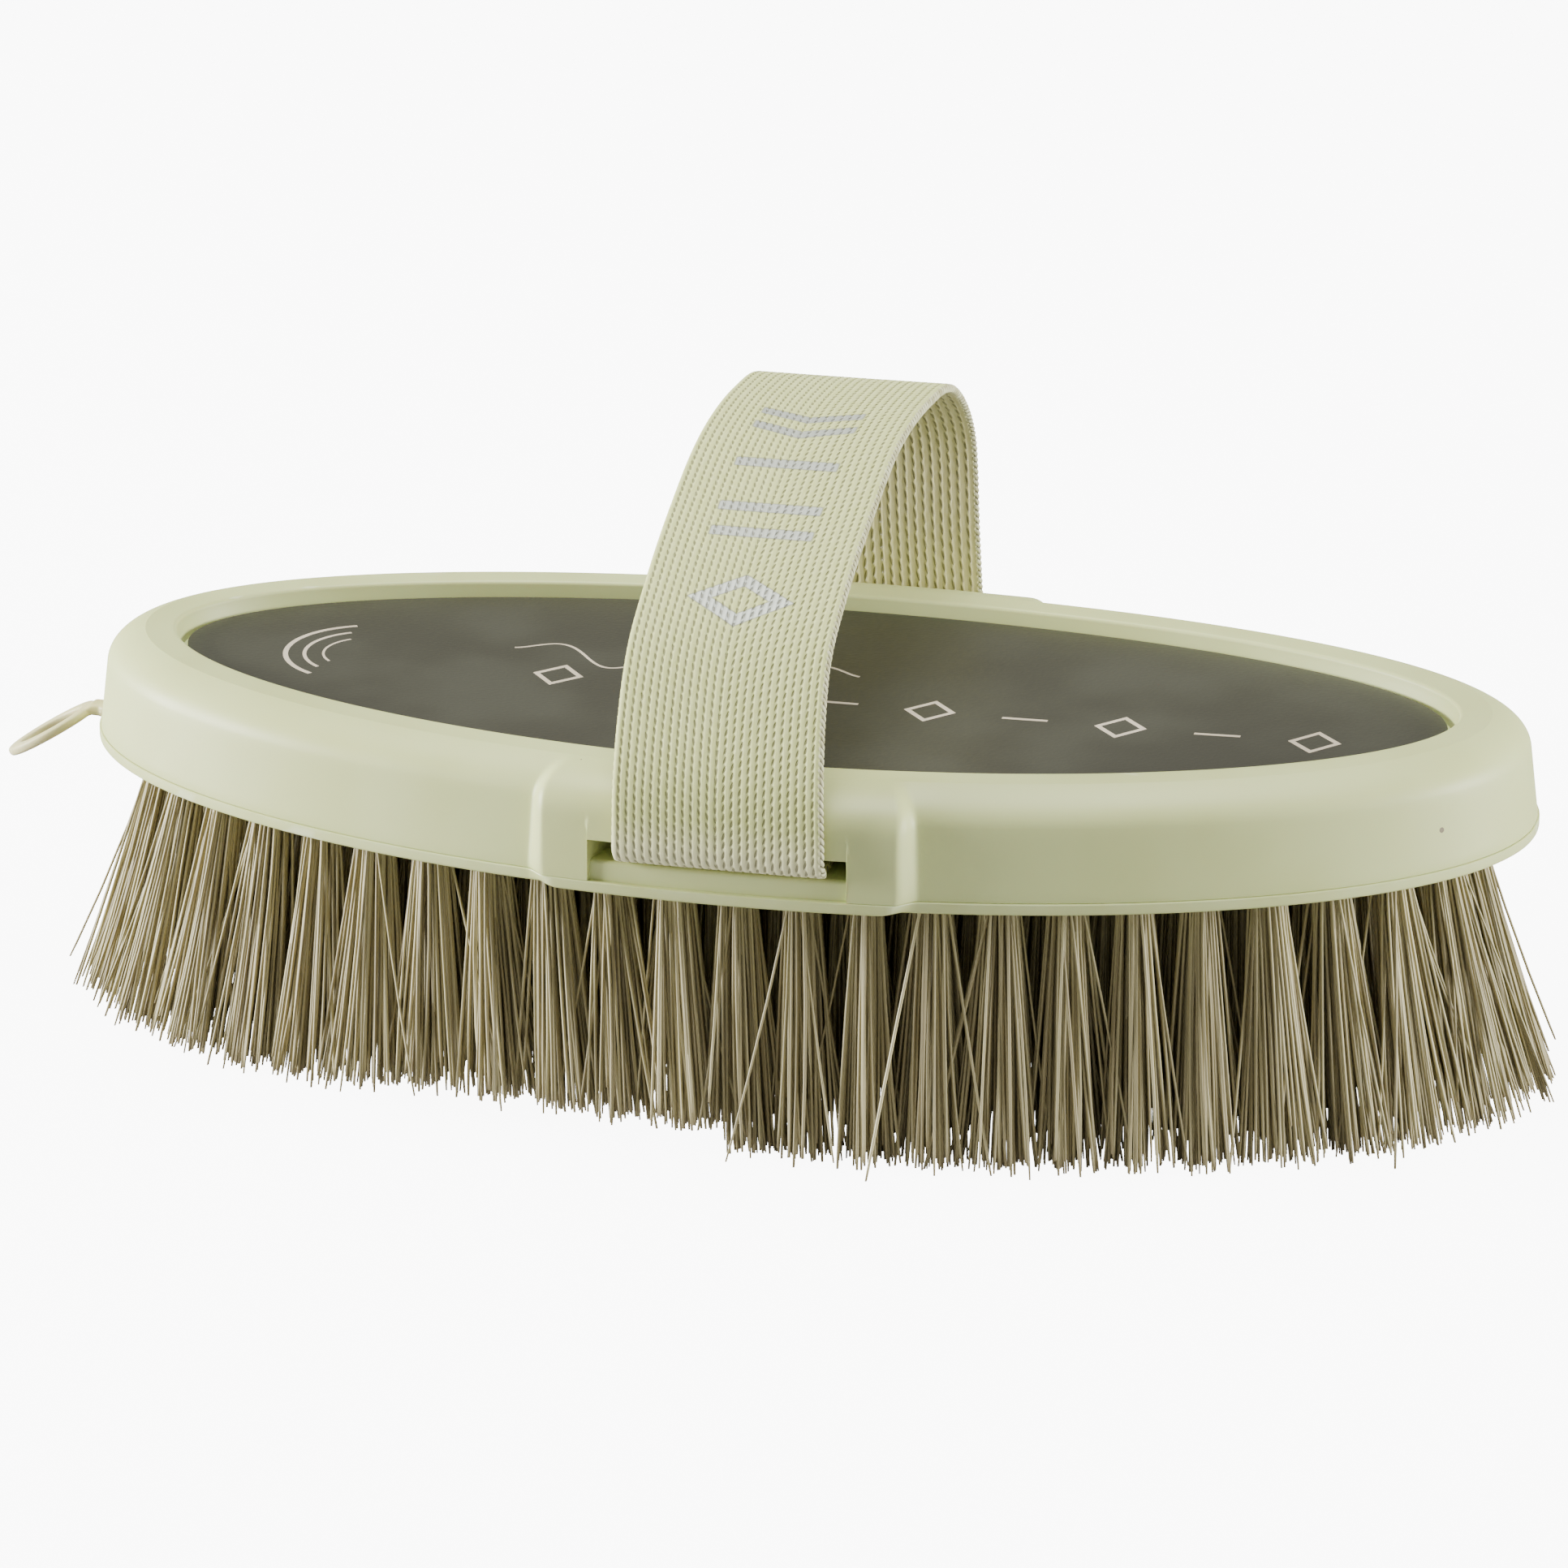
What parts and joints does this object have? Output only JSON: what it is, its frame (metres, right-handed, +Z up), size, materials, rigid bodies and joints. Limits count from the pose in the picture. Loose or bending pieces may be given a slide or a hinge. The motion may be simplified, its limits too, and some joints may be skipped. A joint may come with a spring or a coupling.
{
  "type": "grooming body brush",
  "caption": "Oval grooming brush with a cream moulded back, taupe recessed inlay, webbing hand strap, hanging loop and splayed bristle tufts.",
  "frame": {"origin": "on the flat plane of the bristle tips, under the middle of the body", "axes": "+Z up from the bristle tips to the back of the brush, +X along the body away from the hanging loop, -Y the side that the strap's low leg is on"},
  "size_m": [0.2201, 0.1042, 0.0844],
  "materials": {
    "cream_plastic": "satin moulded plastic, pale sage cream",
    "loop_plastic": "soft satin plastic, cream",
    "inlay": "satin printed panel with a fine grain, taupe",
    "webbing": "herringbone polyester webbing with silver print",
    "bristle": "soft synthetic bristle, taupe beige"
  },
  "bodies": {
    "brush": {"back_shell": "cream_plastic", "bristle_plate": "cream_plastic", "hand_strap": "webbing", "inlay_panel": "inlay", "tufts_centre": "bristle", "tufts_row_1_01": "bristle", "tufts_row_1_02": "bristle", "tufts_row_1_03": "bristle", "tufts_row_1_04": "bristle", "tufts_row_1_05": "bristle", "tufts_row_1_06": "bristle", "tufts_row_1_07": "bristle", "tufts_row_1_08": "bristle", "tufts_row_1_09": "bristle", "tufts_row_1_10": "bristle", "tufts_row_1_11": "bristle", "tufts_row_1_12": "bristle", "tufts_row_2_01": "bristle", "tufts_row_2_02": "bristle", "tufts_row_2_03": "bristle", "tufts_row_2_04": "bristle", "tufts_row_2_05": "bristle", "tufts_row_2_06": "bristle", "tufts_row_2_07": "bristle", "tufts_row_3_01": "bristle", "tufts_row_3_02": "bristle", "tufts_row_3_03": "bristle", "tufts_row_3_04": "bristle", "tufts_row_3_05": "bristle", "tufts_row_3_06": "bristle", "tufts_row_4_01": "bristle", "tufts_row_4_02": "bristle", "tufts_row_4_03": "bristle", "tufts_row_4_04": "bristle", "tufts_row_4_05": "bristle"},
    "loop": {"hanging_loop": "loop_plastic"}
  },
  "joints": [
    {"name": "loop_flex", "type": "hinge", "parent": "brush", "child": "loop", "pos_m": [-0.1009, 0, 0.03698], "axis": [0, 1, 0], "range_deg": [-45, 75], "stiffness_Nm_per_rad": 0.002}
  ]
}
